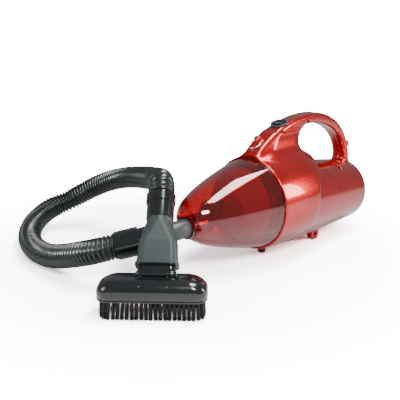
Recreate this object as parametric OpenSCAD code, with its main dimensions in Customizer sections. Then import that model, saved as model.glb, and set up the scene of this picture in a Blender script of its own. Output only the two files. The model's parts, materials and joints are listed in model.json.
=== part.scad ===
// Handheld canister vacuum cleaner: suction from the nose, blowing from the tail.
// +X runs forward through the nose, +Y is the unit's left side, +Z is up.
// The origin is on the floor, under the middle of the unit without its hose.

/* [Body] */
// Where the joint ring between cup and body lies along X
ring_x = 65; // [60:1:72]
// Height of the axis that the cup and the collar share
axis_z = 83; // [78:1:96]
// Radius of the collar at the joint ring
collar_r = 68; // [62:0.5:76]
// How far the collar swells past its front radius
collar_swell = 3.5; // [2:0.5:6]
// Length of the collar behind the joint ring
collar_len = 116; // [104:1:124]
// Wall of the body shells
shell_wall = 2.6; // [2:0.1:3.5]
// Length of the rear housing
tail_len = 166; // [150:1:180]
// Radius of the rear housing at its tail
tail_r = 50.5; // [48:0.5:56]
// Radius of the rear housing at its front
tail_front_r = 63; // [60:0.5:66]
// Height of the rear housing's axis at the tail
tail_z = 61; // [60:1:70]
// Slope of the rear housing's axis, in degrees
tail_tilt = 3.6; // [2:0.1:5]

/* [Handle] */
// Width of the handle
handle_w = 30; // [26:1:36]
// Height of the handle's top above the floor
handle_top = 200.5; // [190:0.5:225]
// Thickness of the handle's bar at its top
handle_bar = 15.5; // [14:0.5:20]

/* [Dust cup] */
// Length of the dust cup in front of the joint ring
cup_len = 125; // [105:1:150]
// Radius of the dust cup at the joint ring
cup_r = 65.5; // [58:0.5:66]
// Radius of the cup's blunt nose
nose_r = 15; // [12:0.5:18]
// Wall of the dust cup
cup_wall = 2.2; // [1.8:0.1:3]
// Length of the cup's spigot inside the collar
spigot_len = 14; // [10:1:18]
// How far the inlet's axis lies below the cup's axis
inlet_drop = 8; // [5:1:10]

/* [Filter] */
// Radius of the filter frame's rim
rim_r = 57.5; // [50:0.5:58]
// Length of the filter from the intake guard to its front
filter_len = 70; // [58:1:76]
// Radius of the filter's front end
filter_front_r = 32; // [24:1:36]

/* [Switch] */
// Radius of the switch bezel
bezel_r = 13; // [12:0.5:14]
// Radius of the round rocker
rocker_r = 9.6; // [8:0.2:10]

/* [Motor] */
// Height of the motor's shaft
motor_z = 74; // [70:1:78]
// Radius of the motor shaft
shaft_r = 4; // [3:0.5:5]
// Radius of the stator's laminations
stator_r = 36; // [32:1:40]
// Radius of the armature
armature_r = 19.5; // [17:0.5:23]
// Radius of the suction impeller
fan_r = 46; // [40:1:50]
// Number of impeller blades
fan_blades = 9; // [7:1:11]

/* [Hose and tool] */
// Radius of the hose plug
plug_r = 12.6; // [11:0.2:14]
// Outer diameter of the ribbed hose
hose_d = 34; // [32:1:38]
// Wall of the hose and its cuffs
hose_wall = 2.4; // [2:0.1:3]
// Radius of the tool pipe
pipe_r = 17.2; // [15:0.2:18]
// Length of the brush head
brush_len = 130; // [120:1:160]
// Depth of the brush head, front to back
brush_depth = 42; // [38:1:52]
// Free length of the bristles
bristle_len = 23; // [16:1:28]

/* [Clearances] */
// Gap of a push fit, on the radius
fit_gap = 0.3; // [0.2:0.05:0.5]
// Gap of a running shaft, on the radius
run_gap = 0.05; // [0.02:0.01:0.08]
// Gap between a moving piece and what it passes
move_gap = 0.6; // [0.4:0.1:1.5]

/* [Hidden] */
$fn = 64;
eps = 0.01;

// Cup and collar
cup_curve = 0.54;
cup_steps = 22;
spigot_r = collar_r - shell_wall - fit_gap;
spigot_x = ring_x - spigot_len;
nose_x = ring_x + cup_len;
inlet_z = axis_z - inlet_drop;
socket_r = plug_r + fit_gap;
socket_wall = 2.4;
socket_len = 27;
socket_x = nose_x + 1.5 - socket_len;
duct_bend = 22;
duct_end_z = inlet_z + duct_bend;
duct_end_x = socket_x - duct_bend;
seal_len = 6.5;
guard_x = spigot_x - seal_len;
guard_t = 6;

// Handle: two ellipses with a shared crown above the rear housing
crown_x = ring_x - 135;
handle_base = axis_z + 25;
handle_rise = handle_top - handle_base;
front_reach = 155;
rear_reach = 108;
grip_x = crown_x + 13;
grip_front_r = 24.5;
grip_top = handle_top - handle_bar;
grip_front = grip_x + grip_front_r;
grip_base = axis_z + 35;
flank_r = 27;
handle_back = crown_x - rear_reach;

// Rear housing
tail_x = ring_x - 237;
cap_round = 8;
port_len = 20;

// Seam where the collar ends over the rear housing
seam_r = 72;
seam_x = ring_x - 149;
seam_z = axis_z - 5;

// Switch on the front slope of the handle
switch_x = crown_x + 70;
switch_tilt = 17;
switch_z = handle_base + handle_rise * sqrt(1 - pow(70 / front_reach, 2));

// Strap eyes
eye_r = 6.5;
eye_hole_r = 2.6;
eye_w = 7;
front_eye_x = ring_x - 17.5;
front_eye_z = handle_base + handle_rise * sqrt(1 - pow((front_eye_x - crown_x) / front_reach, 2)) + 4.2;
rear_eye_x = handle_back - 7;
rear_eye_z = handle_base + 28;
ring_r = 9;
ring_wire = 1;
ring_lie = 31;

// Body screws run along Y at these X and Z places
screw_r = 1.7;
screw_head_r = 3.3;
screw_boss_r = 4;
foot_x = ring_x - 135;
foot_hole_z = 9;
foot_y = 21;
foot_w = 10;
front_foot_x = ring_x - 33;
front_foot_h = 8;
screw_len = 22;
screw_places = [
    [crown_x + 18, handle_top - handle_bar + 3.2, handle_w / 2 - 6, handle_w / 2 - 1],
    [handle_back + 9, handle_base + 24, handle_w / 2 - 6, handle_w / 2 - 1],
    [tail_x + 49, tail_z + 49, 12, 17],
    [foot_x, foot_hole_z, 14, 18]
];

// Mains lead inlet and blower port
gland_r = 5;
gland_hole_r = 3.2;
gland_z = tail_z + tail_r + gland_r + 2.2;
port_r = plug_r + fit_gap;

// Motor places along X
fan_x = ring_x - 76;
fan_t = 20;
shroud_x = fan_x + fan_t + 4;
shroud_len = fan_t + 13;
shroud_r = fan_r + 5;
bracket_x = shroud_x - shroud_len;
bracket_t = 8;
stator_x = bracket_x - 58;
stator_len = 40;
comm_x = stator_x - 26;
comm_r = 11;
comm_len = 12;
rear_bracket_x = stator_x - 42;
bearing_r = 11;
bearing_t = 7;
mount_t = 4;
hub_r = 14;
front_mount_x = bracket_x + 8;
rear_mount_x = rear_bracket_x - 12;
shaft_x = rear_bracket_x - 9;
shaft_len = fan_x + fan_t - shaft_x;

// Brush and tool pipe lie along one axis that leans back over the brush
brush_x = ring_x + 219.5;
brush_y = 41.5;
brush_turn = 133;
tool_lean = 47;
tool_wall = 2.4;
head_t = 25;
head_z = bristle_len;
neck_side = 4;
neck_back = 13;
neck_z = head_z + head_t - 3;
neck_w = 44;
neck_t = 20;
neck_len = 22;
mouth_w = neck_w + 2 * fit_gap;
mouth_t = neck_t + 2 * fit_gap;
adapter_s = 10;
pipe_s = 71;
cuff_s = 93;
cuff_len = 12;
pipe_bore = pipe_r - tool_wall;
hose_bore = hose_d / 2 - hose_wall;
spigot_bore = pipe_bore - fit_gap - tool_wall;
cuff_r = hose_d / 2 + 1.6;
tuft_r = 1.7;
tuft_pitch = 5.6;

// The plug bends out of the nose towards the hose
plug_turn = 45;
plug_roll = 20;
plug_bend = 40;
plug_in = 22;
plug_out = 8;
plug_bore = plug_r - 2;
plug_start = nose_x + 1.5 - plug_in;
elbow_x = nose_x + plug_out;
plug_tail = 26;
hose_cuff_len = 50;
cuff_step = 20;

// Middle line of the hose, from the machine's cuff round to the tool's cuff
hose_route = [
    [266, -48, 57.5], [276.5, -58, 54], [285, -71, 49], [291, -90, 42.5], [294, -115, 34],
    [295.5, -143, 25.5], [295, -172, 19.5], [292, -202, 17.5], [284, -233, 18], [270, -262, 20.5],
    [250, -287, 25], [225, -304, 31.5], [197, -310, 39.5], [170.6, -303.3, 47.3], [151.2, -286.4, 60.7],
    [137, -265.7, 74], [128.3, -239.6, 85.6], [126.4, -210.4, 94.4], [129.9, -180, 101.6], [138.1, -149.5, 108],
    [148.7, -121.2, 113.9], [160.6, -95.6, 119.3], [173.8, -72.7, 124.5], [186.9, -52.4, 129.3], [206.1, -28.4, 133.3],
    [211, -22.6, 130.9], [215.6, -17.5, 127], [219.9, -13.3, 121.8]
];

module about_x() rotate([0, 90, 0]) children();
module on_motor(x) translate([x, 0, motor_z]) about_x() children();
module on_cup(x) translate([x, 0, axis_z]) about_x() children();
module on_tail(x) translate([tail_x, 0, tail_z]) rotate([0, -tail_tilt, 0]) translate([x, 0, 0]) about_x() children();
module tube(r_out, r_in, h) difference() {
    cylinder(r = r_out, h = h);
    translate([0, 0, -1]) cylinder(r = r_in, h = h + 2);
}

// Outline of a quarter ellipse from angle a0 to a1 about centre c
function ellipse_arc(c, rx, rz, a0, a1, n) =
    [for (i = [0:n]) let (a = a0 + (a1 - a0) * i / n) c + [rx * cos(a), rz * sin(a)]];
// Radius of the dust cup at share t of its length
function cup_radius(t, r0, r1) = r1 + (r0 - r1) * pow(1 - t, cup_curve);
function cup_line(r0, r1, x0, x1) =
    [for (i = [0:cup_steps]) let (t = 1 - pow(1 - i / cup_steps, 1.6)) [cup_radius(t, r0, r1), x0 + (x1 - x0) * t]];
// Radius of the collar at share s of its length, from the joint ring backwards
function collar_radius(s) = collar_r + collar_swell * sin(170 * s) - 6 * pow(max(s - 0.6, 0) / 0.4, 2);

// A tube swept along points: flat frames that turn with the path
function unit(v) = v / norm(v);
function path_dir(p, i) = unit(p[min(i + 1, len(p) - 1)] - p[max(i - 1, 0)]);
function ring_at(p, i, r, n, ref) =
    let (t = path_dir(p, i), u = unit(cross(t, ref)), v = cross(t, u))
    [for (k = [0:n - 1]) p[i] + r * (cos(360 * k / n) * u + sin(360 * k / n) * v)];

module swept_tube(p, r_out, r_in, n, ref = [0.02, 0.01, 1]) {
    m = len(p);
    w = 2 * n;
    e = (m - 1) * w;
    points = [for (i = [0:m - 1]) each concat(ring_at(p, i, r_out, n, ref), ring_at(p, i, r_in, n, ref))];
    polyhedron(points = points, convexity = 12, faces = concat(
        [for (i = [0:m - 2], k = [0:n - 1]) let (a = i * w + k, b = i * w + (k + 1) % n) [a, a + w, b + w, b]],
        [for (i = [0:m - 2], k = [0:n - 1]) let (a = i * w + n + k, b = i * w + n + (k + 1) % n)
            [a, b, b + w, a + w]],
        [for (k = [0:n - 1]) [k, (k + 1) % n, n + (k + 1) % n, n + k]],
        [for (k = [0:n - 1]) [e + k, e + n + k, e + n + (k + 1) % n, e + (k + 1) % n]]
    ));
}

module swept_rod(p, r, n, ref = [0, 1, 0]) {
    m = len(p);
    polyhedron(points = [for (i = [0:m - 1]) each ring_at(p, i, r, n, ref)], convexity = 8, faces = concat(
        [for (i = [0:m - 2], k = [0:n - 1]) let (a = i * n + k, b = i * n + (k + 1) % n) [a, a + n, b + n, b]],
        [[for (k = [0:n - 1]) k]],
        [[for (k = [0:n - 1]) m * n - 1 - k]]
    ));
}

// ---- Dust cup and filter ----

module inlet_bore(r) translate([socket_x - 1, 0, inlet_z]) about_x() cylinder(r = r, h = socket_len + 10);

module dust_cup() color([0.75, 0.05, 0.08, 0.6]) difference() {
    union() {
        on_cup(0) rotate_extrude() polygon(concat(
            cup_line(cup_r, nose_r, ring_x, nose_x),
            [[0, nose_x], [0, nose_x - cup_wall]],
            [for (i = [cup_steps:-1:0]) cup_line(cup_r - cup_wall, nose_r - cup_wall, ring_x, nose_x - cup_wall)[i]],
            [[spigot_r - cup_wall, ring_x], [spigot_r - cup_wall, spigot_x], [spigot_r, spigot_x], [spigot_r, ring_x]]
        ));
        translate([socket_x, 0, inlet_z]) about_x() cylinder(r = socket_r + socket_wall, h = socket_len);
    }
    inlet_bore(socket_r);
}

module inlet_duct() color([0.12, 0.12, 0.13]) translate([socket_x, 0, duct_end_z]) rotate([90, 0, 0])
    rotate([0, 0, 180]) rotate_extrude(angle = 90) translate([duct_bend, 0]) difference() {
        circle(r = socket_r + socket_wall - 0.4);
        circle(r = socket_r);
    }

module inlet_flap() color([0.1, 0.1, 0.1]) translate([duct_end_x, 0, duct_end_z + move_gap / 2]) {
    cylinder(r = socket_r + socket_wall - 1, h = 1.6);
    translate([-socket_r - socket_wall - 0.6, -7, 0]) cube([5, 14, 1.6]);
    translate([-socket_r - socket_wall, 7, 1.6]) rotate([90, 0, 0]) cylinder(r = 1.2, h = 14);
}

filter_back = guard_x;
filter_front = guard_x + filter_len;
rim_x = guard_x;
rim_len = 38;

module filter_frame() color([0.08, 0.08, 0.09]) {
    on_cup(rim_x) tube(rim_r, rim_r - 2.4, rim_len);
    on_cup(filter_front - 5) tube(filter_front_r - 1.6, filter_front_r - 8, 3);
    on_cup(rim_x + 6) difference() {
        tube(rim_r - 2, rim_r - 7, 3);
    }
    for (a = [0:45:315]) translate([0, 0, axis_z]) rotate([a, 0, 0]) filter_rib();
}

module filter_rib() rotate([90, 0, 0]) translate([0, 0, -1]) linear_extrude(2) polygon([
    [rim_x + 6, rim_r - 6.5], [rim_x + 6, rim_r - 3.2], [rim_x + rim_len - 6, rim_r - 5.2],
    [filter_front - 2, filter_front_r - 2], [filter_front - 2, filter_front_r - 5]
]);

module filter_cloth() color([0.55, 0.5, 0.5]) on_cup(0) rotate_extrude() polygon([
    [rim_r - 2.7, rim_x + rim_len - 7], [rim_r - 2.7, rim_x + rim_len], [filter_front_r, filter_front],
    [0, filter_front + 1.4], [0, filter_front + 0.2], [filter_front_r - 1.2, filter_front - 0.6],
    [rim_r - 4, rim_x + rim_len - 1], [rim_r - 4, rim_x + rim_len - 7]
]);

module cup_seal() color([0.1, 0.1, 0.1]) on_cup(guard_x) tube(spigot_r, rim_r + 0.3, seal_len - 0.1);

module intake_guard() color([0.15, 0.15, 0.16]) on_cup(guard_x - guard_t) difference() {
    cylinder(r = spigot_r, h = guard_t);
    for (ring = [1:4], a = [0:30:330]) rotate(a + 15 * (ring % 2)) translate([12 + 9.5 * (ring - 1) + 2, 0, -1])
        cylinder(r = 2.2 + 0.35 * ring, h = guard_t + 2);
}

// ---- Body shells ----

module collar_solid(cut, w) difference() {
    on_cup(0) rotate_extrude() polygon(concat(
        w > 0 ? [[0, ring_x + 1], [collar_r - w, ring_x + 1]] : [[0, ring_x]],
        [for (i = [0:12]) [collar_radius(i / 12) - w, ring_x - collar_len * i / 12]],
        [[0, ring_x - collar_len]]
    ));
    translate([seam_x, 100, seam_z]) rotate([90, 0, 0]) cylinder(r = cut, h = 200);
}

module tail_solid(w) on_tail(-1 * (w > 0 ? 1 : 0)) cylinder(
    r1 = tail_r - w, r2 = tail_front_r - w, h = tail_len + (w > 0 ? 2 : 0));

// Side view of the handle and its front pillar, with its walls moved inwards by w
module handle_side(w) difference() {
    polygon(concat(
        ellipse_arc([crown_x, handle_base], front_reach - w, handle_rise - w, 0, 90, 16),
        ellipse_arc([crown_x, handle_base], rear_reach - w, handle_rise - w, 90 + 90 / 16, 180, 15)
    ));
    polygon(concat(
        [[grip_x - 4, handle_base - 1], [grip_x + 8 + w, grip_base + 2], [grip_x + 14 + w, grip_base + 20]],
        ellipse_arc([grip_x, grip_top - grip_front_r], grip_front_r + w, grip_front_r + w, 0, 90, 10),
        ellipse_arc([grip_x, grip_base], rear_reach + w, grip_top - grip_base + w, 91, 180, 16),
        [[grip_x - rear_reach - w, handle_base - 1]]
    ));
    translate([ring_x - w, 0]) square([200, 300]);
}

module pillar_slab(x0, x1, r, z) translate([0, 0, z]) {
    translate([x0 + r, 0, 0]) cylinder(r = r, h = 0.1, $fn = 32);
    translate([x1 - r, 0, 0]) cylinder(r = r, h = 0.1, $fn = 32);
}

// Flanks that widen the pillar down into the collar
module pillar_flanks(w) {
    hull() {
        pillar_slab(grip_front - 8.5 + w, ring_x - 1 - w, collar_r - 18 - w, axis_z + 40);
        pillar_slab(grip_front - 0.5 + w, ring_x - 3 - w, flank_r - w, axis_z + 67);
    }
    hull() {
        pillar_slab(grip_front - 0.5 + w, ring_x - 3 - w, flank_r - w, axis_z + 67);
        pillar_slab(grip_front + 2.5 + w, ring_x - 36 - w, handle_w / 2 - w, handle_top - 22.5 - w);
    }
}

module body_outer() {
    collar_solid(seam_r, 0);
    tail_solid(0);
    translate([0, handle_w / 2, 0]) rotate([90, 0, 0]) linear_extrude(handle_w) handle_side(0);
    pillar_flanks(0);
}

module body_inner() {
    collar_solid(seam_r + shell_wall, shell_wall);
    tail_solid(shell_wall);
    translate([0, handle_w / 2 - shell_wall, 0]) rotate([90, 0, 0])
        linear_extrude(handle_w - 2 * shell_wall) handle_side(shell_wall);
    pillar_flanks(shell_wall);
}

module along_x(x, z, r, h) translate([x, 0, z]) about_x() cylinder(r = r, h = h);
module along_y(x, z, r, y0, y1) translate([x, y1, z]) rotate([90, 0, 0]) cylinder(r = r, h = y1 - y0);
module half_space(side) translate([-400, side > 0 ? 0 : -200, -10]) cube([800, 200, 400]);
module on_switch() translate([switch_x, 0, switch_z]) rotate([0, switch_tilt, 0]) children();
function tail_radius(x) = tail_r + (tail_front_r - tail_r) * (x - tail_x) / tail_len;

module foot_lug(side) translate([foot_x, side * foot_y, 0]) intersection() {
    union() {
        translate([0, foot_w / 2, foot_hole_z - 0.5]) rotate([90, 0, 0]) cylinder(r = 9.5, h = foot_w);
        translate([-9.5, -foot_w / 2, foot_hole_z]) cube([19, foot_w, 12]);
    }
    translate([-20, -20, 0]) cube([40, 40, 30]);
}

module strap_eye(x, z) along_y(x, z, eye_r, -eye_w / 2, eye_w / 2);

// Wall across the rear housing that holds a rubber motor mount of radius r
module mount_wall(x, r) difference() {
    on_tail(x - tail_x) cylinder(r = tail_radius(x) - shell_wall + 0.6, h = 3);
    on_motor(x - 10) cylinder(r = r, h = 30);
}

// One shell: outside less inside, then walls, bosses and holes
module shell_half(side) difference() {
    union() {
        intersection() {
            difference() {
                union() {
                    body_outer();
                    foot_lug(side);
                    translate([front_foot_x, 0, front_foot_h]) cylinder(r = 9, h = 12);
                    strap_eye(front_eye_x, front_eye_z);
                    translate([rear_eye_x, -eye_w / 2, rear_eye_z - 4]) cube([14, eye_w, 8]);
                    strap_eye(rear_eye_x, rear_eye_z);
                }
                body_inner();
            }
            half_space(side);
        }
        intersection() {
            union() {
                mount_wall(front_mount_x + 2, shroud_r + mount_t);
                mount_wall(rear_mount_x + 3, hub_r + mount_t);
                on_cup(guard_x - guard_t - 2) tube(collar_r + 0.4, collar_r - 8, 2 - eps);
            }
            half_space(side);
        }
        for (s = screw_places) along_y(s[0], s[1], screw_boss_r, side > 0 ? 0 : -s[3], side > 0 ? s[3] : 0);
    }
    along_y(front_eye_x, front_eye_z, eye_hole_r, -20, 20);
    along_y(rear_eye_x, rear_eye_z, eye_hole_r, -20, 20);
    for (s = screw_places) {
        along_y(s[0], s[1], screw_r + 0.2, s[2] - screw_len - 0.4, s[2] + 1);
        along_y(s[0], s[1], screw_head_r + 0.5, s[2], 60);
    }
    translate([front_foot_x, 0, 0]) cylinder(r = 2.5 + fit_gap, h = front_foot_h + 8);
    on_switch() translate([0, 0, -8]) cylinder(r = bezel_r - 1.5 + fit_gap, h = 20);
    along_x(handle_back - 20, gland_z, gland_r, 26);
    on_tail(-2) cylinder(r = tail_r - shell_wall, h = 10);
    on_tail(-cap_round - 4) cylinder(r = tail_r + fit_gap, h = cap_round + 4 - eps);
    on_motor(rear_bracket_x - move_gap) cylinder(r = stator_r + move_gap, h = 20);
}

module body_shell_left() color([0.72, 0.06, 0.06]) shell_half(1);

module body_shell_right() color([0.72, 0.06, 0.06]) shell_half(-1);

module rear_cap() color([0.68, 0.05, 0.05]) on_tail(0) difference() {
    union() {
        rotate_extrude() polygon(concat(
            [[port_r, -cap_round]],
            ellipse_arc([tail_r - cap_round, 0], cap_round, cap_round, -90, 0, 8),
            [[tail_r - shell_wall - fit_gap, 0], [tail_r - shell_wall - fit_gap, 8]],
            [[tail_r - shell_wall - 2.4, 8], [tail_r - shell_wall - 2.4, -2.4]],
            [[tail_r - cap_round, 2.6 - cap_round], [port_r, 2.6 - cap_round]]
        ));
        translate([0, 0, -cap_round - 4]) tube(port_r + 3, port_r, port_len);
    }
    for (a = [0:22.5:337.5]) rotate(a) translate([port_r + 9, -1.6, -cap_round - 1]) cube([16, 3.2, 5]);
}

module front_foot() color([0.2, 0.03, 0.03]) translate([front_foot_x, 0, 0]) {
    cylinder(r1 = 5.5, r2 = 7.5, h = front_foot_h - eps);
    cylinder(r = 2.5, h = front_foot_h + 6);
}

module body_screws() color([0.25, 0.25, 0.26]) for (s = screw_places) difference() {
    union() {
        along_y(s[0], s[1], screw_head_r, s[2] + eps, s[2] + 2);
        along_y(s[0], s[1], screw_r, s[2] - screw_len, s[2] + 0.5);
    }
    translate([s[0], s[2] + 2, s[1]]) cube([4, 1.6, 0.8], center = true);
    translate([s[0], s[2] + 2, s[1]]) cube([0.8, 1.6, 4], center = true);
}

// ---- Switch, strap ring and mains inlet ----

module switch_bezel() color([0.3, 0.31, 0.32]) on_switch() difference() {
    union() {
        translate([0, 0, 0.1]) tube(bezel_r, rocker_r + move_gap, 1.9);
        translate([0, 0, -7]) tube(bezel_r - 1.5, rocker_r + move_gap, 7.2);
    }
    translate([0, bezel_r, -1.5]) rotate([90, 0, 0]) cylinder(r = 1.5 + run_gap, h = 2 * bezel_r);
}

module switch_rocker() color([0.06, 0.06, 0.07]) on_switch() {
    difference() {
        translate([0, 0, -3.5]) cylinder(r = rocker_r - 1, h = 7.5);
        for (m = [0, 1]) mirror([m, 0, 0]) translate([0, -15, 2.5]) rotate([0, -10, 0]) cube([20, 30, 10]);
    }
    translate([0, bezel_r - 1.7, -1.5]) rotate([90, 0, 0]) cylinder(r = 1.5, h = 2 * bezel_r - 3.4);
}

module switch_body() color([0.1, 0.1, 0.1]) on_switch() translate([-9, -8, -24]) cube([18, 16, 13.5]);

module strap_ring() color([0.8, 0.8, 0.82]) translate([front_eye_x, 0, front_eye_z]) rotate([0, ring_lie, 0])
    translate([ring_r, 0, 0]) rotate_extrude() translate([ring_r, 0]) circle(r = ring_wire, $fn = 24);

module cord_gland() color([0.08, 0.08, 0.08]) difference() {
    union() {
        along_x(handle_back - 6, gland_z, gland_r + 1.6, 5.5);
        along_x(handle_back - 1, gland_z, gland_r - 0.1, 5);
    }
    along_x(handle_back - 8, gland_z, gland_hole_r, 20);
}

// Lead from the switch down to the motor's rear
module switch_lead() color([0.1, 0.1, 0.1]) swept_rod([
    [switch_x - 7, 0, switch_z - 23.2], [switch_x - 13, 0, switch_z - 41], [ring_x - 88, 0, axis_z + 53],
    [ring_x - 98, 0, axis_z + 41], [ring_x - 111, 0, motor_z + stator_r + 8.5],
    [ring_x - 128, 0, motor_z + stator_r + 5.5], [comm_x + 14, 0, motor_z + stator_r + 4],
    [comm_x + 6, 0, motor_z + stator_r + 1], [comm_x + 6, 0, motor_z + stator_r - 1.8]
], 1.6, 8);

// ---- Motor and fan ----

module fan_shroud() color([0.16, 0.16, 0.17]) {
    on_motor(shroud_x - 2) tube(shroud_r, fan_r * 0.46, 2);
    on_motor(bracket_x) tube(shroud_r, shroud_r - 2, shroud_len - 2);
}

module impeller_blade(h) intersection() {
    translate([0, -24, 0]) tube(24, 22.6, h);
    translate([0, -24, -1]) cube([40, 40, h + 2]);
}

module impeller() color([0.75, 0.76, 0.78]) on_motor(fan_x) difference() {
    union() {
        cylinder(r = fan_r, h = 1.6);
        cylinder(r = shaft_r + 5, h = fan_t - 4);
        translate([0, 0, fan_t - 1.6]) tube(fan_r, fan_r * 0.46, 1.6);
        intersection() {
            for (i = [0:fan_blades - 1]) rotate(i * 360 / fan_blades) translate([fan_r * 0.42, 0, 1.5])
                impeller_blade(fan_t - 3);
            cylinder(r = fan_r - 0.4, h = fan_t);
        }
    }
    translate([0, 0, -1]) cylinder(r = shaft_r, h = fan_t + 2);
}

module fan_nut() color([0.8, 0.7, 0.4]) on_motor(fan_x + fan_t - 4 + eps) difference() {
    cylinder(r = shaft_r + 2.6, h = 3.5, $fn = 6);
    translate([0, 0, -1]) cylinder(r = shaft_r, h = 6);
}

module front_motor_mount() color([0.1, 0.1, 0.1]) on_motor(front_mount_x)
    tube(shroud_r + mount_t - eps, shroud_r + eps, 11);

module rear_motor_mount() color([0.1, 0.1, 0.1]) on_motor(rear_mount_x)
    tube(hub_r + mount_t - eps, hub_r + eps, 10);

module front_bracket() color([0.6, 0.61, 0.63]) {
    on_motor(bracket_x - 3) difference() {
        cylinder(r = shroud_r - 1, h = 3 - eps);
        translate([0, 0, -1]) cylinder(r = shaft_r + 1.2, h = 6);
        for (a = [0:30:330]) rotate(a) translate([shroud_r - 9, 0, -1]) cylinder(r = 4, h = 6);
    }
    on_motor(bracket_x - bracket_t - 3) tube(bearing_r + 3, bearing_r, bracket_t + 0.1);
    for (a = [45:90:315]) on_motor(stator_x + stator_len + eps) rotate(a)
        translate([stator_r - 4, 0, 0]) cylinder(r = 3, h = bracket_x - 2.9 - stator_x - stator_len);
}

module rear_bracket() color([0.6, 0.61, 0.63]) difference() {
    union() {
        on_motor(rear_bracket_x) tube(stator_r, stator_r - 2.4, stator_x - rear_bracket_x - eps);
        on_motor(rear_bracket_x) cylinder(r = stator_r, h = 2.4);
        on_motor(rear_bracket_x - 12) cylinder(r = hub_r, h = 13);
    }
    on_motor(rear_bracket_x - 8) cylinder(r = bearing_r, h = 20);
    on_motor(rear_bracket_x - 20) cylinder(r = shaft_r + 1.2, h = 30);
    translate([comm_x + 6, 0, motor_z + stator_r - 5]) cylinder(r = 2.4, h = 10);
    for (a = [45:90:315]) on_motor(rear_bracket_x + 8) rotate(a)
        translate([stator_r - 6, -7, 0]) cube([12, 14, 18]);
    for (a = [45:90:315]) on_motor(rear_bracket_x - 1) rotate(a) translate([24, 0, 0]) cylinder(r = 5, h = 5);
}

module bearing(x) on_motor(x) difference() {
    cylinder(r = bearing_r - eps, h = bearing_t);
    translate([0, 0, -1]) cylinder(r = shaft_r + run_gap, h = bearing_t + 2);
    for (z = [-0.1, bearing_t - 0.7]) translate([0, 0, z]) tube(bearing_r - 2.4, shaft_r + 2.4, 0.8);
}

module front_bearing() color([0.72, 0.73, 0.75]) bearing(bracket_x - bracket_t - 2.5);

module rear_bearing() color([0.72, 0.73, 0.75]) bearing(rear_bracket_x - 8 + eps);

module coil_space(r_out, r_in, half_w, h) intersection() {
    tube(r_out, r_in, h);
    translate([-half_w, 0, -1]) cube([2 * half_w, r_out + 2, h + 2]);
}

module stator() color([0.45, 0.45, 0.47]) on_motor(stator_x) difference() {
    cylinder(r = stator_r, h = stator_len);
    translate([0, 0, -1]) cylinder(r = armature_r + move_gap, h = stator_len + 2);
    for (m = [0, 1]) mirror([0, m, 0]) translate([0, 0, -1])
        coil_space(stator_r - 6, armature_r + 3, 15, stator_len + 2);
}

module field_coils() color([0.72, 0.4, 0.18]) on_motor(stator_x - 6) for (m = [0, 1]) mirror([0, m, 0])
    coil_space(stator_r - 6.6, armature_r + 3.6, 14.4, stator_len + 12);

module motor_shaft() color([0.8, 0.81, 0.83]) on_motor(shaft_x) cylinder(r = shaft_r - eps, h = shaft_len);

module armature() color([0.5, 0.5, 0.52]) on_motor(stator_x + 2) difference() {
    cylinder(r = armature_r, h = stator_len - 4);
    translate([0, 0, -1]) cylinder(r = shaft_r, h = stator_len + 4);
    for (a = [0:30:330]) rotate(a) translate([armature_r - 5, -1.2, -1]) cube([6, 2.4, stator_len]);
}

module armature_windings() color([0.7, 0.38, 0.16]) for (x = [stator_x - 6, stator_x + stator_len - 2 + eps])
    on_motor(x) tube(armature_r - 2, shaft_r, 8 - 2 * eps);

module commutator() color([0.8, 0.5, 0.25]) on_motor(comm_x) difference() {
    cylinder(r = comm_r, h = comm_len);
    translate([0, 0, -1]) cylinder(r = shaft_r, h = comm_len + 2);
    for (a = [0:15:345]) rotate(a) translate([comm_r - 1, -0.3, -1]) cube([2, 0.6, comm_len + 2]);
}

module carbon_brushes() color([0.15, 0.15, 0.15]) on_motor(comm_x + 2) for (a = [0, 180]) rotate(a)
    translate([comm_r + 0.3, -3.5, 0]) cube([14, 7, comm_len - 4]);

module brush_holders() color([0.75, 0.65, 0.35]) on_motor(comm_x + 1) for (a = [0, 180]) rotate(a) difference() {
    translate([comm_r + 3, -5, -0.6]) cube([stator_r - comm_r - 5.8, 9.9, comm_len - 0.8]);
    translate([comm_r, -3.6, 0.9]) cube([stator_r - comm_r, 7.2, comm_len - 3.8]);
}

// ---- Hose and floor brush ----

// Frame of the plug: local X along its straight end, bent towards local -Y
module on_plug() translate([0, 0, inlet_z]) rotate([plug_roll, 0, 0]) children();
module on_plug_end(t) on_plug() translate([elbow_x, -plug_bend, 0]) rotate([0, 0, -plug_turn])
    translate([0, plug_bend, 0]) about_x() translate([0, 0, t]) children();

plug_path = concat(
    [[plug_start, 0, 0], [plug_start + 10, 0, 0], [elbow_x - 2, 0, 0]],
    [for (k = [0:8]) let (a = plug_turn * k / 8) [elbow_x + plug_bend * sin(a), -plug_bend * (1 - cos(a)), 0]],
    [for (t = [3, plug_tail - 8, plug_tail])
        [elbow_x + plug_bend * sin(plug_turn) + t * cos(plug_turn),
        -plug_bend * (1 - cos(plug_turn)) - t * sin(plug_turn), 0]]
);

module hose_plug() color([0.2, 0.22, 0.23]) on_plug() swept_tube(plug_path, plug_r, plug_bore, 32);

module hose_cuff() color([0.06, 0.07, 0.07]) {
    on_plug_end(plug_tail - cuff_step + eps) tube(plug_r + 3.4, plug_r + fit_gap, cuff_step + 1);
    on_plug_end(plug_tail + 2 * eps) tube(cuff_r, plug_r - 1.4, hose_cuff_len - cuff_step);
}

module hose() color([0.07, 0.08, 0.08]) swept_tube(hose_route, hose_d / 2, hose_bore, 12);

module rounded_plan(l, d, r) {
    square([l - 2 * r, d], center = true);
    square([l, d - 2 * r], center = true);
    for (x = [-1, 1], y = [-1, 1]) translate([x * (l / 2 - r), y * (d / 2 - r)]) circle(r = r);
}

// Brush frame: local X along the head, local Y away under the pipe
module on_brush(z) translate([brush_x, brush_y, z]) rotate([0, 0, brush_turn]) children();
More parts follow.
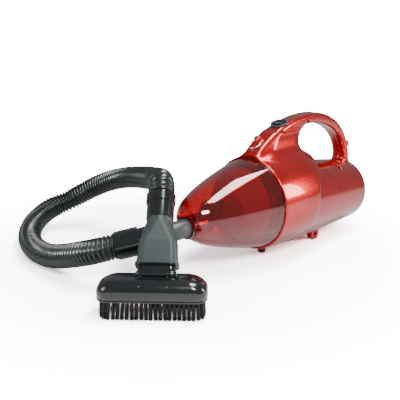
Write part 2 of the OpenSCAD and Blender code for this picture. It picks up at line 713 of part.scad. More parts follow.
// Pipe frame: local Z up the leaning neck and pipe, local X along the head
module on_neck(s) on_brush(neck_z) translate([neck_side, neck_back, 0]) rotate([tool_lean - 90, 0, 0])
    translate([0, 0, s]) children();
// Rounded rectangle of 24 points; a circle when l = d = 2 r
function rounded_ring(l, d, r) = [for (q = [0:3], k = [0:5]) let (a = 90 * q + 18 * k)
    [(q == 0 || q == 3 ? 1 : -1) * (l / 2 - r) + r * cos(a), (q < 2 ? 1 : -1) * (d / 2 - r) + r * sin(a)]];

// Skin through stations [height, length, depth, corner radius]: closed runs out and back as one tube,
// otherwise both ends are flat caps
module skin(stations, closed = true) {
    m = len(stations);
    n = 24;
    last = closed ? m - 1 : m - 2;
    polyhedron(
        points = [for (t = stations) each [for (p = rounded_ring(t[1], t[2], t[3])) [p[0], p[1], t[0]]]],
        faces = concat(
            [for (i = [0:last], k = [0:n - 1])
                let (a = i * n + k, b = i * n + (k + 1) % n, c = (a + n) % (m * n), d = (b + n) % (m * n))
                each [[a, c, d], [a, d, b]]],
            closed ? [] : [[for (k = [0:n - 1]) k], [for (k = [0:n - 1]) m * n - 1 - k]]
        ),
        convexity = 6
    );
}

module tool_cuff() color([0.05, 0.05, 0.06]) {
    on_neck(cuff_s + eps) tube(cuff_r, pipe_bore + 0.4 + fit_gap, 9.5);
    on_neck(cuff_s + 9) tube(cuff_r, hose_bore, cuff_len - 9);
}

module tool_pipe() color([0.04, 0.04, 0.05]) {
    on_neck(pipe_s) tube(pipe_r, pipe_bore, cuff_s - pipe_s - 1);
    on_neck(cuff_s - 2) tube(pipe_r, pipe_bore - 2, 2);
    on_neck(cuff_s - 1) tube(pipe_bore + 0.4, pipe_bore - 2, 9.5);
}

module flat_adapter() color([0.25, 0.31, 0.31]) on_neck(0) skin([
    [adapter_s, mouth_w + 8, mouth_t + 8, 9],
    [adapter_s + 3, mouth_w + 8, mouth_t + 8, 9],
    [adapter_s + 3.6, mouth_w + 4.8, mouth_t + 4.8, 8],
    [adapter_s + 30, mouth_w + 2.8, mouth_t + 4.8, 9],
    [pipe_s - 5, 2 * pipe_r - 1.2, 2 * pipe_r - 1.2, pipe_r - 0.61],
    [pipe_s - eps, 2 * pipe_r - 1.2, 2 * pipe_r - 1.2, pipe_r - 0.61],
    [pipe_s, 2 * (pipe_bore - fit_gap), 2 * (pipe_bore - fit_gap), pipe_bore - fit_gap - 0.01],
    [pipe_s + 12, 2 * (pipe_bore - fit_gap), 2 * (pipe_bore - fit_gap), pipe_bore - fit_gap - 0.01],
    [pipe_s + 12, 2 * spigot_bore, 2 * spigot_bore, spigot_bore - 0.01],
    [pipe_s - 6, 2 * spigot_bore, 2 * spigot_bore, spigot_bore - 0.01],
    [adapter_s + 13, mouth_w, mouth_t, 6.5],
    [adapter_s, mouth_w, mouth_t, 6.5]
]);

module brush_head() color([0.06, 0.07, 0.08]) difference() {
    union() {
        on_brush(0) skin([
            [head_z, brush_len, brush_depth, 15],
            [head_z + head_t - 9, brush_len, brush_depth, 15],
            [head_z + head_t - 4.5, brush_len - 4, brush_depth - 4, 14],
            [head_z + head_t - 1.2, brush_len - 11, brush_depth - 11, 12],
            [head_z + head_t, brush_len - 18, brush_depth - 18, 10]
        ], false);
        on_neck(0) skin([[-8, neck_w, neck_t, 6], [neck_len, neck_w, neck_t, 6]], false);
    }
    on_brush(0) skin([
        [head_z - 1, brush_len - 2 * tool_wall, brush_depth - 2 * tool_wall, 15 - tool_wall],
        [head_z + head_t - 10, brush_len - 2 * tool_wall, brush_depth - 2 * tool_wall, 15 - tool_wall],
        [head_z + head_t - 3.4, brush_len - 18, brush_depth - 18, 10]
    ], false);
    on_neck(0) skin([
        [-16, neck_w - 2 * tool_wall, neck_t - 2 * tool_wall, 4],
        [neck_len + 4, neck_w - 2 * tool_wall, neck_t - 2 * tool_wall, 4]
    ], false);
}

module brush_rim() color([0.05, 0.05, 0.05]) on_brush(head_z) linear_extrude(3.4) difference() {
    rounded_plan(brush_len - 2 * tool_wall - 0.4, brush_depth - 2 * tool_wall - 0.4, 12.4);
    rounded_plan(brush_len - 30, brush_depth - 24, 6);
}

// Tufts in two rows along the head and three across each end
module bristles() color([0.04, 0.04, 0.04]) on_brush(0) {
    tufts = floor((brush_len - 28) / tuft_pitch);
    for (y = [-1, 1], i = [0:tufts]) translate([(i - tufts / 2) * tuft_pitch, y * (brush_depth / 2 - 6), 0])
        cylinder(r = tuft_r, h = head_z - eps, $fn = 16);
    for (x = [-1, 1], y = [-8, 0, 8]) translate([x * (brush_len / 2 - 6), y, 0])
        cylinder(r = tuft_r, h = head_z - eps, $fn = 16);
}

dust_cup();
inlet_duct();
inlet_flap();
filter_frame();
filter_cloth();
cup_seal();
intake_guard();
body_shell_left();
body_shell_right();
rear_cap();
front_foot();
body_screws();
switch_bezel();
switch_rocker();
switch_body();
strap_ring();
cord_gland();
switch_lead();
fan_shroud();
impeller();
fan_nut();
front_motor_mount();
rear_motor_mount();
front_bracket();
rear_bracket();
front_bearing();
rear_bearing();
stator();
field_coils();
motor_shaft();
armature();
armature_windings();
commutator();
brush_holders();
carbon_brushes();
hose_plug();
hose_cuff();
hose();
tool_cuff();
tool_pipe();
flat_adapter();
brush_head();
brush_rim();
bristles();
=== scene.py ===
import json
import math
import random

import bmesh
import bpy
import numpy as np
from mathutils import Matrix, Vector


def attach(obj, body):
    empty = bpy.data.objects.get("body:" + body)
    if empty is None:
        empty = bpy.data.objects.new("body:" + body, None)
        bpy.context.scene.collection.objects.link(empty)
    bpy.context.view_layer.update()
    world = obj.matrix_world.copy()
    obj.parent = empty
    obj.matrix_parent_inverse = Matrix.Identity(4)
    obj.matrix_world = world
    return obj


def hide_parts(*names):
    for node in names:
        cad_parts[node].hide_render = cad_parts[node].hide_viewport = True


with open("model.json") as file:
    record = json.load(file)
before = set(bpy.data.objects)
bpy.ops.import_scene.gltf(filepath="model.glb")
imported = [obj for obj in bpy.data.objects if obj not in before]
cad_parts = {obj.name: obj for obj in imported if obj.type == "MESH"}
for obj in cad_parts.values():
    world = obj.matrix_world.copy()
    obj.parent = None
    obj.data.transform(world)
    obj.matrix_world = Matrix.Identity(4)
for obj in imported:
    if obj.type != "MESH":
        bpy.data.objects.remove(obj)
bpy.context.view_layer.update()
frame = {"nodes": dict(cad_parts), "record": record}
nodes = frame["nodes"]
scene = bpy.context.scene
rng = random.Random(7)


# ---------------------------------------------------------------- materials
def principled(name):
    m = bpy.data.materials.new(name)
    m.use_nodes = True
    nt = m.node_tree
    return m, nt, nt.nodes["Principled BSDF"]


def noise(nt, scale, detail=3.0, rough=0.5):
    tc = nt.nodes.new("ShaderNodeTexCoord")
    n = nt.nodes.new("ShaderNodeTexNoise")
    n.inputs["Scale"].default_value = scale
    n.inputs["Detail"].default_value = detail
    n.inputs["Roughness"].default_value = rough
    nt.links.new(tc.outputs["Object"], n.inputs["Vector"])
    return n


def ramp(nt, src, lo, hi, a=0.3, b=0.7):
    r = nt.nodes.new("ShaderNodeMapRange")
    r.inputs["From Min"].default_value = a
    r.inputs["From Max"].default_value = b
    r.inputs["To Min"].default_value = lo
    r.inputs["To Max"].default_value = hi
    nt.links.new(src, r.inputs["Value"])
    return r.outputs["Result"]


def bump(nt, bs, height, strength, distance, bevel=0.0):
    b = nt.nodes.new("ShaderNodeBump")
    b.inputs["Strength"].default_value = strength
    b.inputs["Distance"].default_value = distance
    nt.links.new(height, b.inputs["Height"])
    if bevel:
        v = nt.nodes.new("ShaderNodeBevel")
        v.samples = 4
        v.inputs["Radius"].default_value = bevel
        nt.links.new(v.outputs["Normal"], b.inputs["Normal"])
    nt.links.new(b.outputs["Normal"], bs.inputs["Normal"])


def plain(name, color, rough, metallic=0.0, coat=0.0, grain=900.0, grain_depth=0.00003, spread=0.06, bevel=0.0):
    m, nt, bs = principled(name)
    bs.inputs["Base Color"].default_value = (*color, 1)
    bs.inputs["Metallic"].default_value = metallic
    bs.inputs["Coat Weight"].default_value = coat
    bs.inputs["Coat Roughness"].default_value = 0.04
    n = noise(nt, grain)
    big = noise(nt, 35.0, 2.0)
    nt.links.new(ramp(nt, big.outputs["Fac"], max(rough - spread, 0.02), rough + spread), bs.inputs["Roughness"])
    bump(nt, bs, n.outputs["Fac"], 0.35, grain_depth, bevel)
    return m


def red_lacquer(name, base, deep):
    """Metallic red under clear lacquer, darker where the surface turns away."""
    m, nt, bs = principled(name)
    lw = nt.nodes.new("ShaderNodeLayerWeight")
    lw.inputs["Blend"].default_value = 0.42
    mix = nt.nodes.new("ShaderNodeMix")
    mix.data_type = "RGBA"
    mix.inputs["A"].default_value = (*base, 1)
    mix.inputs["B"].default_value = (*deep, 1)
    nt.links.new(lw.outputs["Facing"], mix.inputs["Factor"])
    nt.links.new(mix.outputs["Result"], bs.inputs["Base Color"])
    bs.inputs["Metallic"].default_value = 0.8
    bs.inputs["Coat Weight"].default_value = 1.0
    bs.inputs["Coat Roughness"].default_value = 0.025
    bs.inputs["Coat IOR"].default_value = 1.5
    flake = noise(nt, 2600.0, 2.0, 0.6)
    big = noise(nt, 30.0, 2.0)
    nt.links.new(ramp(nt, big.outputs["Fac"], 0.24, 0.30), bs.inputs["Roughness"])
    bump(nt, bs, flake.outputs["Fac"], 0.1, 0.00003)
    return m


def red_glass(name):
    """See-through red plastic: a tinted, slightly milky skin."""
    m, nt, bs = principled(name)
    bs.inputs["Base Color"].default_value = (0.86, 0.016, 0.022, 1)
    bs.inputs["Transmission Weight"].default_value = 0.965
    bs.inputs["IOR"].default_value = 1.45
    bs.inputs["Coat Weight"].default_value = 1.0
    bs.inputs["Coat Roughness"].default_value = 0.02
    big = noise(nt, 28.0, 2.0)
    nt.links.new(ramp(nt, big.outputs["Fac"], 0.02, 0.05), bs.inputs["Roughness"])
    fine = noise(nt, 420.0, 2.0)
    bump(nt, bs, fine.outputs["Fac"], 0.08, 0.00003)
    return m


MATS = {
    "cup_red": red_glass("cup_red"),
    "body_red": red_lacquer("body_red", (0.74, 0.009, 0.006), (0.16, 0.001, 0.001)),
    "foot_red": plain("foot_red", (0.10, 0.004, 0.004), 0.32, coat=0.4),
    "black_gloss": plain("black_gloss", (0.006, 0.008, 0.009), 0.17, coat=0.7, spread=0.04, bevel=0.0006),
    "black_matte": plain("black_matte", (0.010, 0.015, 0.015), 0.27, coat=0.3, grain_depth=0.00004),
    "dark_grey": plain("dark_grey", (0.055, 0.062, 0.062), 0.34, bevel=0.0005),
    "adapter_grey": plain("adapter_grey", (0.030, 0.042, 0.042), 0.36, coat=0.25, grain_depth=0.00005),
    "filter_white": plain("filter_white", (0.22, 0.06, 0.06), 0.8, grain=1500.0, grain_depth=0.0002),
    "rubber": plain("rubber", (0.02, 0.02, 0.021), 0.62, grain_depth=0.00008),
    "chrome": plain("chrome", (0.86, 0.86, 0.88), 0.09, metallic=1.0, spread=0.03),
    "steel": plain("steel", (0.56, 0.57, 0.6), 0.28, metallic=1.0),
    "iron": plain("iron", (0.22, 0.22, 0.24), 0.42, metallic=1.0),
    "cast_alloy": plain("cast_alloy", (0.55, 0.56, 0.58), 0.46, metallic=1.0, grain=300.0, grain_depth=0.0002),
    "copper": plain("copper", (0.62, 0.22, 0.09), 0.3, metallic=1.0),
    "brass": plain("brass", (0.66, 0.47, 0.18), 0.28, metallic=1.0),
    "carbon": plain("carbon", (0.02, 0.02, 0.02), 0.55),
    "bristle": plain("bristle", (0.005, 0.005, 0.006), 0.45, coat=0.05),
}
slot_of = {s["node"]: s["material_slot"] for s in frame["record"]["subparts"]}
for name, obj in nodes.items():
    obj.data.materials.clear()
    obj.data.materials.append(MATS[slot_of[name]])


# ---------------------------------------------------------------- mesh helpers
def add_piece(name, verts, faces, slot, smooth=True, sub=0):
    me = bpy.data.meshes.new(name)
    me.from_pydata([tuple(v) for v in verts], [], faces)
    me.validate()
    me.update()
    o = bpy.data.objects.new(name, me)
    scene.collection.objects.link(o)
    me.materials.append(MATS[slot])
    bm = bmesh.new()
    bm.from_mesh(me)
    bmesh.ops.recalc_face_normals(bm, faces=bm.faces)
    bm.to_mesh(me)
    bm.free()
    for p in me.polygons:
        p.use_smooth = smooth
    if sub:
        mod = o.modifiers.new("sub", "SUBSURF")
        mod.levels = mod.render_levels = sub
    return o


def grid_faces(m, n, closed_m=False):
    out = []
    for i in range(m if closed_m else m - 1):
        for k in range(n):
            a, b = i * n + k, i * n + (k + 1) % n
            c, d = ((i + 1) % m) * n + k, ((i + 1) % m) * n + (k + 1) % n
            out.append((a, b, d, c))
    return out


# ---------------------------------------------------------------- hose
MM = 0.001
HOSE = [
    (266, -48, 57.5), (276.5, -58, 54), (285, -71, 49), (291, -90, 42.5), (294, -115, 34),
    (295.5, -143, 25.5), (295, -172, 19.5), (292, -202, 17.5), (284, -233, 18), (270, -262, 20.5),
    (250, -287, 25), (225, -304, 31.5), (197, -310, 39.5), (170.6, -303.3, 47.3), (151.2, -286.4, 60.7),
    (137, -265.7, 74), (128.3, -239.6, 85.6), (126.4, -210.4, 94.4), (129.9, -180, 101.6), (138.1, -149.5, 108),
    (148.7, -121.2, 113.9), (160.6, -95.6, 119.3), (173.8, -72.7, 124.5), (186.9, -52.4, 129.3), (206.1, -28.4, 133.3),
    (211, -22.6, 130.9), (215.6, -17.5, 127), (219.9, -13.3, 121.8),
]
HOSE = [Vector(p) * MM for p in HOSE]


def spline(points, steps):
    """Catmull-Rom line through the points."""
    out = []
    n = len(points)
    for i in range(n - 1):
        p0 = points[i - 1] if i else points[0] * 2 - points[1]
        p1, p2 = points[i], points[i + 1]
        p3 = points[i + 2] if i + 2 < n else points[-1] * 2 - points[-2]
        for s in range(steps):
            t = s / steps
            out.append(0.5 * (2 * p1 + (p2 - p0) * t + (2 * p0 - 5 * p1 + 4 * p2 - p3) * t * t
                              + (3 * p1 - p0 - 3 * p2 + p3) * t ** 3))
    out.append(points[-1].copy())
    return out


def even(points, n):
    """n points at even steps along the line, and its length."""
    run = [0.0]
    for a, b in zip(points, points[1:]):
        run.append(run[-1] + (b - a).length)
    out, j = [], 0
    for i in range(n):
        want = run[-1] * i / (n - 1)
        while j < len(run) - 2 and run[j + 1] < want:
            j += 1
        f = (want - run[j]) / max(run[j + 1] - run[j], 1e-9)
        out.append(points[j].lerp(points[j + 1], min(max(f, 0), 1)))
    return out, run[-1]


def sweep(points, radius, n):
    """Rings of n points along a line; radius(i) gives ring i's radius. Frames are carried without twist."""
    verts = []
    t0 = (points[1] - points[0]).normalized()
    u = t0.orthogonal().normalized()
    for i, p in enumerate(points):
        t = (points[min(i + 1, len(points) - 1)] - points[max(i - 1, 0)]).normalized()
        u = (u - t * u.dot(t)).normalized()
        v = t.cross(u)
        r = radius(i)
        for k in range(n):
            a = 2 * math.pi * k / n
            verts.append(p + (u * math.cos(a) + v * math.sin(a)) * r)
    return verts


HOSE_R, RIB, GROOVE = 0.017, 0.0056, 0.0036
RINGS_PER_RIB, SIDES = 8, 40
line = spline(HOSE, 24)
_, hose_len = even(line, 3)
ribs = round(hose_len / RIB)
rings, _ = even(line, ribs * RINGS_PER_RIB + 1)


def rib_radius(i):
    """Broad rib, narrow groove."""
    s = 0.5 - 0.5 * math.cos(2 * math.pi * (i % RINGS_PER_RIB) / RINGS_PER_RIB)
    return HOSE_R - GROOVE * (1 - s ** 0.55)


verts = sweep(rings, rib_radius, SIDES)
hose = add_piece("hose_ribbed", verts, grid_faces(len(rings), SIDES), "black_matte")
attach(hose, "hose_set")
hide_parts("hose")


# ---------------------------------------------------------------- brush
def turn(axis, deg):
    return Matrix.Rotation(math.radians(deg), 4, axis)


BRUSH = Matrix.Translation(Vector((284.5, 41.5, 0)) * MM) @ turn("Z", 133)
NECK = BRUSH @ Matrix.Translation(Vector((4, 13, 45)) * MM) @ turn("X", -43)
LONG, DEEP = 130.0, 42.0
SHOULDER_Z, CROWN = 32.5, 15.3
END_SLOPE, SIDE_SLOPE, CORNER_SLOPE = 44, 22, 6.5


def rounded(l, d, r, z, q=10):
    """Ring of points round a rectangle with corner radius r, in mm."""
    pts = []
    for c in range(4):
        sx = 1 if c in (0, 3) else -1
        sy = 1 if c < 2 else -1
        for k in range(q):
            a = math.radians(90 * c + 90 * k / (q - 1))
            pts.append(Vector((sx * (l / 2 - r) + r * math.cos(a), sy * (d / 2 - r) + r * math.sin(a), z)))
    return pts


def loft(name, place, stations, slot, caps=False, body="hose_set", q=10):
    """Skin through rounded rings; without caps it closes on itself as a wall."""
    verts = [place @ (p * MM) for st in stations for p in rounded(*st, q=q)]
    n, m = 4 * q, len(stations)
    faces = grid_faces(m, n, closed_m=not caps)
    if caps:
        faces += [tuple(range(n)), tuple(range((m - 1) * n, m * n))]
    o = add_piece(name, verts, faces, slot)
    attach(o, body)
    return o


outer = [(LONG - 0.8, DEEP - 0.8, 14.6, 23.0), (LONG, DEEP, 15, 23.5), (LONG, DEEP, 15, 25.6),
         (LONG - 0.9, DEEP - 0.9, 14.6, 26.0), (LONG - 0.9, DEEP - 0.9, 14.6, 26.5), (LONG, DEEP, 15, 26.9),
         (LONG, DEEP, 15, SHOULDER_Z)]
for k in range(1, 13):
    a = math.radians(7.5 * k)
    run_in = 1 - math.cos(a)
    outer.append((LONG - END_SLOPE * run_in, DEEP - SIDE_SLOPE * run_in, 15 - CORNER_SLOPE * run_in,
                  SHOULDER_Z + CROWN * math.sin(a)))
inner = [(LONG - 50, DEEP - 26, 7.5, 44.6), (LONG - 12, DEEP - 9, 11.6, 36), (LONG - 5, DEEP - 5, 12.6, 30),
         (LONG - 5, DEEP - 5, 12.6, 23.0)]
head = loft("brush_head_skin", BRUSH, [(2.0, 2.0, 0.9, 48.0)] + outer[::-1] + inner[::-1] + [(2.0, 2.0, 0.9, 45.7)],
            "black_gloss", caps=True, q=12)
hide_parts("brush_head")
PIPS = ((-14.5, 1, 47.6), (17.4, 1, 47.6), (-14, -17.2, 42.6), (18, -17.2, 42.6))
PIP_DOME = [(3.2, 3.2, 1.59, -1.4), (3.2, 3.2, 1.59, 0.2), (2.4, 2.4, 1.19, 0.8), (0.8, 0.8, 0.39, 1.0)]
for i, at in enumerate(PIPS):
    loft(f"brush_pip_{i}", BRUSH @ Matrix.Translation(Vector(at) * MM), PIP_DOME, "black_gloss", caps=True, q=4)
loft("brush_neck", NECK,
     [(54, 29, 9, -3.0), (49, 24.5, 8, 0.5), (45.6, 21.4, 6.8, 3.6), (44, 20, 6, 7), (44, 20, 6, 22),
      (39.2, 15.2, 4, 22), (39.2, 15.2, 4, -6), (48, 24, 6, -6)], "black_gloss")

verts, faces = [], []
FIBRES, TUFT_R, FIBRE_R, TUFTS = 26, 1.6, 0.36, 52


def fibre(root, tip, r):
    """One bristle as a five-sided taper with a slight bow."""
    b = len(verts)
    mid = root.lerp(tip, 0.55) + Vector((rng.uniform(-0.2, 0.2), rng.uniform(-0.2, 0.2), 0))
    for c, w in ((root, 1.0), (mid, 0.95), (tip, 0.55)):
        for k in range(5):
            a = 2 * math.pi * k / 5
            verts.append(BRUSH @ ((c + Vector((math.cos(a) * r * w, math.sin(a) * r * w, 0))) * MM))
    for i in range(2):
        for k in range(5):
            faces.append((b + 5 * i + k, b + 5 * i + (k + 1) % 5, b + 5 * i + 5 + (k + 1) % 5, b + 5 * i + 5 + k))
    faces.append(tuple(b + 10 + k for k in range(5)))


def tuft(x, y):
    """A round bundle of fibres that spreads towards the floor."""
    lean = Vector((rng.uniform(-0.5, 0.5) + 0.012 * x, rng.uniform(-0.3, 0.3) + 0.03 * y, 0))
    for i in range(FIBRES):
        rr, a = TUFT_R * math.sqrt((i + 0.5) / FIBRES), i * 2.399
        p = Vector((x + rr * math.cos(a), y + rr * math.sin(a), 24.0))
        tip = Vector((x + 1.5 * rr * math.cos(a), y + 1.5 * rr * math.sin(a), rng.uniform(0.15, 1.1))) + lean
        fibre(p, tip, FIBRE_R)


track = rounded(LONG - 10, DEEP - 10, 11, 0, q=8)
track, _ = even(track + track[:1], TUFTS + 1)
for p in track[:-1]:
    tuft(p.x, p.y)
bristles = add_piece("bristle_tufts", verts, faces, "bristle")
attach(bristles, "hose_set")
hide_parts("bristles")

# ---------------------------------------------------------------- body skin
# The two shells as one smooth skin: a distance field in mm, meshed on a grid and pulled onto its zero surface.
def smin(a, b, k):
    """Smaller of two distances, blended over k."""
    h = np.clip(0.5 + 0.5 * (b - a) / k, 0, 1)
    return b + (a - b) * h - k * h * (1 - h)


def smax(a, b, k):
    return -smin(-a, -b, k)


def ellipse(dx, dz, a, b):
    """Distance to an ellipse, near enough close to it."""
    f = np.sqrt((dx / a) ** 2 + (dz / b) ** 2) + 1e-6
    g = np.sqrt((dx / a ** 2) ** 2 + (dz / b ** 2) ** 2) + 1e-9
    return f * (f - 1) / g


def along_y(x, z, y, cx, cz, r, y0, y1):
    return np.maximum(np.hypot(x - cx, z - cz) - r, np.maximum(y0 - y, y - y1))


AXIS_Z, RING_X = 83.0, 65
TAIL_X, TAIL_Z, TILT = 172.0, 61.0, math.radians(3.6)
TAIL_R, TAIL_LEN, WALL = 50.5, 166, 2.6
CROWN_X, HANDLE_Z, HANDLE_HALF, HANDLE_ROUND = 70.0, 108, 15, 6.6
SWITCH = (0.0, 190.53, math.radians(17))
EYES = ((47.5, 172.5), (-185, 136))
EYE_R, EYE_HOLE, EYE_HALF = 6.5, 2.6, 3.5
SCREWS = ((-52, 188.2, 9, 14), (-169, 132, 9, 14), (-123, 110, 12, 17), (-70, 9, 14, 18))


def tail_frame(x, z):
    """Place along and above the rear housing's axis."""
    dx, dz = x + TAIL_X, z - TAIL_Z
    return dx * math.cos(TILT) + dz * math.sin(TILT), -dx * math.sin(TILT) + dz * math.cos(TILT)


def body_field(x, y, z):
    """Distance to the outside of the whole body."""
    ax = np.hypot(y, z - AXIS_Z)
    s = np.clip((65.0 - x) / 116.0, -0.02, 1.05)
    swell = 68 + 3.5 * np.sin(np.radians(170 * s)) - 6 * np.square(np.maximum(s - 0.6, 0) / 0.4)
    seam = 72 - np.hypot(x + 84, z - 78)
    collar = smax(smax(ax - swell, seam, 3.0), np.maximum(x - 65, -51 - x), 1.6)
    t, up = tail_frame(x, z)
    tail = np.maximum(np.hypot(y, up) - (TAIL_R + 12.5 * t / TAIL_LEN), np.maximum(-t, t - TAIL_LEN))
    # handle bar with its grip hole, rounded along its edges
    dx = x + CROWN_X
    rim = ellipse(dx, np.maximum(z, HANDLE_Z) - HANDLE_Z, np.where(dx > 0, 155.0, 108.0), 92.5)
    up_z = np.maximum(z - 118, 0)
    rear_hole = ellipse(x + 57, up_z, 108.0, 67.0)
    front_hole = np.where(z > 160.5, np.hypot(x + 57, z - 160.5) - 24.5, (x + 32.5) * 0.906 - (z - 160.5) * 0.423)
    hole = np.where(x < -57, rear_hole, front_hole)
    flat = np.maximum(np.maximum(rim, -hole), np.maximum(HANDLE_Z - z, x - RING_X))
    q0, q1 = flat + HANDLE_ROUND, np.abs(y) - HANDLE_HALF + HANDLE_ROUND
    bar = np.minimum(np.maximum(q0, q1), 0) + np.hypot(np.maximum(q0, 0), np.maximum(q1, 0)) - HANDLE_ROUND
    # flanks that widen the pillar into the collar
    h = np.clip((z - 123) / 55.0, 0, 1)
    half = 15 + 35 * np.power(1 - h, 1.75)
    x0 = -41 + 12 * h
    x1 = np.where(z < 150, 64 - 2 * (z - 123) / 27, 62 - 33 * (z - 150) / 28)
    mid, lx = (x0 + x1) / 2, (x1 - x0) / 2
    flank = np.hypot(np.maximum(np.abs(x - mid) - np.maximum(lx - half, 0), 0), y) - half
    flank = np.maximum(np.maximum(flank * 0.8, z - 178), np.maximum(120 - z, np.maximum(x - 64.4, rim)))
    flank = np.maximum(flank, -hole - 1.5 * (z > 140))
    top = smin(bar, flank, 7.0)
    body = smin(top, collar, 9.0)
    body = np.maximum(body, np.where(z > 100, x - 64.9, -1e3))
    tail_bar = smin(bar, tail, 5.0)
    body = np.minimum(body, np.where(x < -60, tail_bar, tail))
    # strap eyes, feet
    front_eye, rear_eye = (along_y(x, z, y, *at, EYE_R, -EYE_HALF, EYE_HALF) for at in EYES)
    body = smin(body, front_eye, 1.6)
    arm = np.maximum(np.maximum(np.abs(x + 179) - 7, np.abs(z - 136) - 4), np.abs(y) - EYE_HALF)
    body = smin(body, smin(arm, rear_eye, 1.0), 1.6)
    lug_round = np.hypot(x + 70, z - 8.5) - 9.5
    lug_block = np.maximum(np.abs(x + 70) - 9.5, np.maximum(9 - z, z - 21))
    lug = np.maximum(np.minimum(lug_round, lug_block), np.abs(np.abs(y) - 21) - 5)
    body = smin(body, np.maximum(lug, -z), 1.8)
    body = smin(body, np.maximum(np.hypot(x - 32, y) - 9, np.maximum(8 - z, z - 18)), 2.0)
    return body


def shell_field(x, y, z):
    """Distance to the shells' walls, with their bosses, holes and open ends."""
    out = body_field(x, y, z)
    d = np.maximum(out, -(out + WALL))
    ax = np.hypot(y, z - AXIS_Z)
    d = np.maximum(d, -np.maximum(ax - 65.4, np.maximum(44 - x, x - 70)))
    t, up = tail_frame(x, z)
    d = np.maximum(d, -np.maximum(np.hypot(y, up) - 47.9, np.maximum(-4 - t, t - 8)))
    for cx, cz in EYES:
        d = np.maximum(d, -along_y(x, z, y, cx, cz, EYE_HOLE, -20, 20))
    for cx, cz, seat, end in SCREWS:
        boss = along_y(x, z, y, cx, cz, 4.0, -end, end)
        d = np.minimum(d, np.maximum(boss, out) if cz > 20 else boss)
        d = np.maximum(d, -along_y(x, z, y, cx, cz, 3.8, seat, 60))
    d = np.maximum(d, -np.maximum(np.hypot(y, up) - 50.8, np.maximum(-12 - t, t)))
    a = SWITCH[2]
    sx, sz = x - SWITCH[0], z - SWITCH[1]
    sn, st = sx * math.sin(a) + sz * math.cos(a), sx * math.cos(a) - sz * math.sin(a)
    d = np.maximum(d, -np.maximum(np.hypot(st, y) - 11.8, np.maximum(-8 - sn, sn - 12)))
    d = np.maximum(d, -np.maximum(np.hypot(y, z - 118.7) - 5, np.maximum(-198 - x, x + 172)))
    return d


def net(field, low, high, step):
    """Surface net of field between two corners: one vertex per mixed cell, one quad per crossing edge."""
    ax = [np.arange(lo, hi + step, step, dtype=np.float32) for lo, hi in zip(low, high)]
    d = np.empty([len(a) for a in ax], np.float32)
    Y, Z = np.meshgrid(ax[1], ax[2], indexing="ij")
    for i in range(0, len(ax[0]), 16):
        xs = ax[0][i:i + 16][:, None, None]
        d[i:i + 16] = field(xs + 0 * Y, Y[None] + 0 * xs, Z[None] + 0 * xs)
    sg = d < 0
    corners = [(a, b, c) for a in (0, 1) for b in (0, 1) for c in (0, 1)]
    n = [s - 1 for s in d.shape]
    count = sum(sg[a:a + n[0], b:b + n[1], c:c + n[2]].astype(np.int8) for a, b, c in corners)
    cells = np.argwhere((count > 0) & (count < 8))
    index = np.full(n, -1, np.int32)
    index[tuple(cells.T)] = np.arange(len(cells))
    val = {c: d[tuple((cells + c).T)] for c in corners}
    total, num = np.zeros((len(cells), 3), np.float32), np.zeros(len(cells), np.float32)
    for c in corners:
        for k in range(3):
            if c[k]:
                continue
            e = tuple(1 if j == k else c[j] for j in range(3))
            v0, v1 = val[c], val[e]
            hit = (v0 < 0) != (v1 < 0)
            f = np.where(hit, v0 / np.where(hit, v0 - v1, 1), 0)
            p = np.array(c, np.float32)[None] + np.zeros((len(cells), 3), np.float32)
            p[:, k] = f
            total += p * hit[:, None]
            num += hit
    pts = (cells + total / num[:, None]) * step + np.array(low, np.float32)
    faces = []
    for k in range(3):
        a, b = [j for j in range(3) if j != k]
        lo = [slice(None)] * 3
        hi = [slice(None)] * 3
        lo[k], hi[k] = slice(0, -1), slice(1, None)
        s0, s1 = sg[tuple(lo)], sg[tuple(hi)]
        e = np.argwhere(s0 != s1)
        keep = (e[:, a] > 0) & (e[:, b] > 0) & (e[:, a] < n[a]) & (e[:, b] < n[b])
        e = e[keep]
        quad = []
        for oa, ob in ((0, 0), (-1, 0), (-1, -1), (0, -1)):
            c = e.copy()
            c[:, a] += oa
            c[:, b] += ob
            quad.append(index[tuple(c.T)])
        quad = np.stack(quad, 1)
        flip = s0[tuple(e.T)] ^ (k == 1)
        quad[~flip] = quad[~flip][:, ::-1]
        faces.append(quad)
    faces = np.concatenate(faces)
    for _ in range(3):
        g, h = np.empty_like(pts), 0.05
        base = field(*pts.T)
        for k in range(3):
            q = pts.copy()
            q[:, k] += h
            g[:, k] = (field(*q.T) - base) / h
        move = g * (base / np.maximum((g ** 2).sum(1), 0.3))[:, None]
        size = np.linalg.norm(move, axis=1)
        pts -= move * np.minimum(1, 0.4 * step / np.maximum(size, 1e-6))[:, None]
    return pts, faces


def add_net(name, pts, faces, slot):
    me = bpy.data.meshes.new(name)
    me.vertices.add(len(pts))
    me.vertices.foreach_set("co", (pts * MM).astype(np.float32).ravel())
    me.loops.add(faces.size)
    me.loops.foreach_set("vertex_index", faces.astype(np.int32).ravel())
    me.polygons.add(len(faces))
    me.polygons.foreach_set("loop_start", np.arange(0, faces.size, 4, dtype=np.int32))
    me.polygons.foreach_set("use_smooth", np.ones(len(faces), bool))
    me.update()
    me.validate()
    o = bpy.data.objects.new(name, me)
    scene.collection.objects.link(o)
    me.materials.append(MATS[slot])
    return o


SEAM_DEPTH = 0.45
step = 1.0
# the low Y puts a row of points in the middle plane
pts, quads = net(shell_field, (-194, -74.25, -2), (68, 74, 204), step)
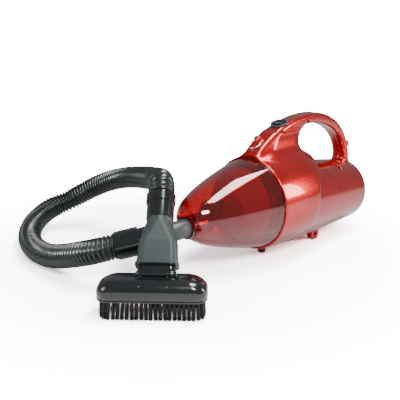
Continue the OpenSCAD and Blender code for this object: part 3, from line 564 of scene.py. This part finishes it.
# parting line of the two shells: the outer points in the middle plane sink a little
seam = np.flatnonzero((np.abs(pts[:, 1]) < 0.35 * step) & (np.abs(body_field(*pts.T)) < 0.15))
q = pts[seam]
slope = np.stack([body_field(*(q + 0.05 * np.eye(3, dtype=np.float32)[k]).T) - body_field(*q.T) for k in range(3)], 1)
pts[seam] -= SEAM_DEPTH * slope / np.maximum(np.linalg.norm(slope, axis=1), 1e-6)[:, None]
shell = add_net("body_skin", pts, quads, "body_red")
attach(shell, "housing")
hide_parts("body_shell_left", "body_shell_right")

# ---------------------------------------------------------------- camera, light, floor
TARGET = Vector((0.164, 0.0, 0.1077))
BACK = Vector((0.6809, 0.6786, 0.2756)).normalized()
cam = bpy.data.cameras.new("camera")
cam.lens = 54.7
cam.sensor_width = 36
cam_o = bpy.data.objects.new("camera", cam)
cam_o.location = TARGET + BACK * 0.8
cam_o.rotation_euler = BACK.to_track_quat("Z", "Y").to_euler()
scene.collection.objects.link(cam_o)
scene.camera = cam_o


def softbox(name, place, aim, w, h, power, color=(1, 1, 1)):
    d = bpy.data.lights.new(name, "AREA")
    d.shape = "RECTANGLE"
    d.size, d.size_y = w, h
    d.energy = power
    d.color = color
    o = bpy.data.objects.new(name, d)
    o.location = place
    o.rotation_euler = (Vector(place) - Vector(aim)).to_track_quat("Z", "Y").to_euler()
    scene.collection.objects.link(o)
    return o


AIM = (0.08, 0.0, 0.1)
softbox("key", (0.75, 0.95, 0.95), AIM, 0.42, 0.3, 17)
softbox("top", (-0.1, 0.25, 1.3), AIM, 0.9, 0.35, 20)
softbox("side", (-0.9, 1.1, 0.55), AIM, 0.3, 0.6, 10)
softbox("fill", (1.5, -0.5, 0.7), AIM, 0.6, 0.6, 7)


def lit_for_camera(nt, seen, other):
    """What the camera sees directly against what lights the object."""
    lp = nt.nodes.new("ShaderNodeLightPath")
    mix = nt.nodes.new("ShaderNodeMixShader")
    nt.links.new(lp.outputs["Is Camera Ray"], mix.inputs[0])
    nt.links.new(other.outputs[0], mix.inputs[1])
    nt.links.new(seen.outputs[0], mix.inputs[2])
    return mix


WHITE = 26.0
world = bpy.data.worlds.new("world")
world.use_nodes = True
wt = world.node_tree
bg = wt.nodes["Background"]
bg.inputs["Color"].default_value = (1, 1, 1, 1)
bg.inputs["Strength"].default_value = 0.26
clear = wt.nodes.new("ShaderNodeBackground")
clear.inputs["Color"].default_value = (1, 1, 1, 1)
clear.inputs["Strength"].default_value = WHITE
wt.links.new(lit_for_camera(wt, clear, bg).outputs[0], wt.nodes["World Output"].inputs["Surface"])
scene.world = world

m, nt, bs = principled("floor")
bs.inputs["Base Color"].default_value = (0.7, 0.7, 0.7, 1)
n = noise(nt, 6.0)
nt.links.new(ramp(nt, n.outputs["Fac"], 0.5, 0.6), bs.inputs["Roughness"])
near = nt.nodes.new("ShaderNodeBsdfDiffuse")
near.inputs["Color"].default_value = (5.2, 5.2, 5.2, 1)
far = nt.nodes.new("ShaderNodeEmission")
far.inputs["Strength"].default_value = WHITE
tc = nt.nodes.new("ShaderNodeTexCoord")
dist = nt.nodes.new("ShaderNodeVectorMath")
dist.operation = "DISTANCE"
dist.inputs[1].default_value = (0.1, -0.08, 0)
nt.links.new(tc.outputs["Object"], dist.inputs[0])
fade = nt.nodes.new("ShaderNodeMixShader")
nt.links.new(ramp(nt, dist.outputs["Value"], 0.0, 1.0, 0.25, 0.62), fade.inputs[0])
nt.links.new(near.outputs[0], fade.inputs[1])
nt.links.new(far.outputs[0], fade.inputs[2])
nt.links.new(lit_for_camera(nt, fade, bs).outputs[0], nt.nodes["Material Output"].inputs["Surface"])
me = bpy.data.meshes.new("floor")
me.from_pydata([(-6, -6, 0), (6, -6, 0), (6, 6, 0), (-6, 6, 0)], [], [(0, 1, 2, 3)])
floor = bpy.data.objects.new("floor", me)
me.materials.append(m)
scene.collection.objects.link(floor)
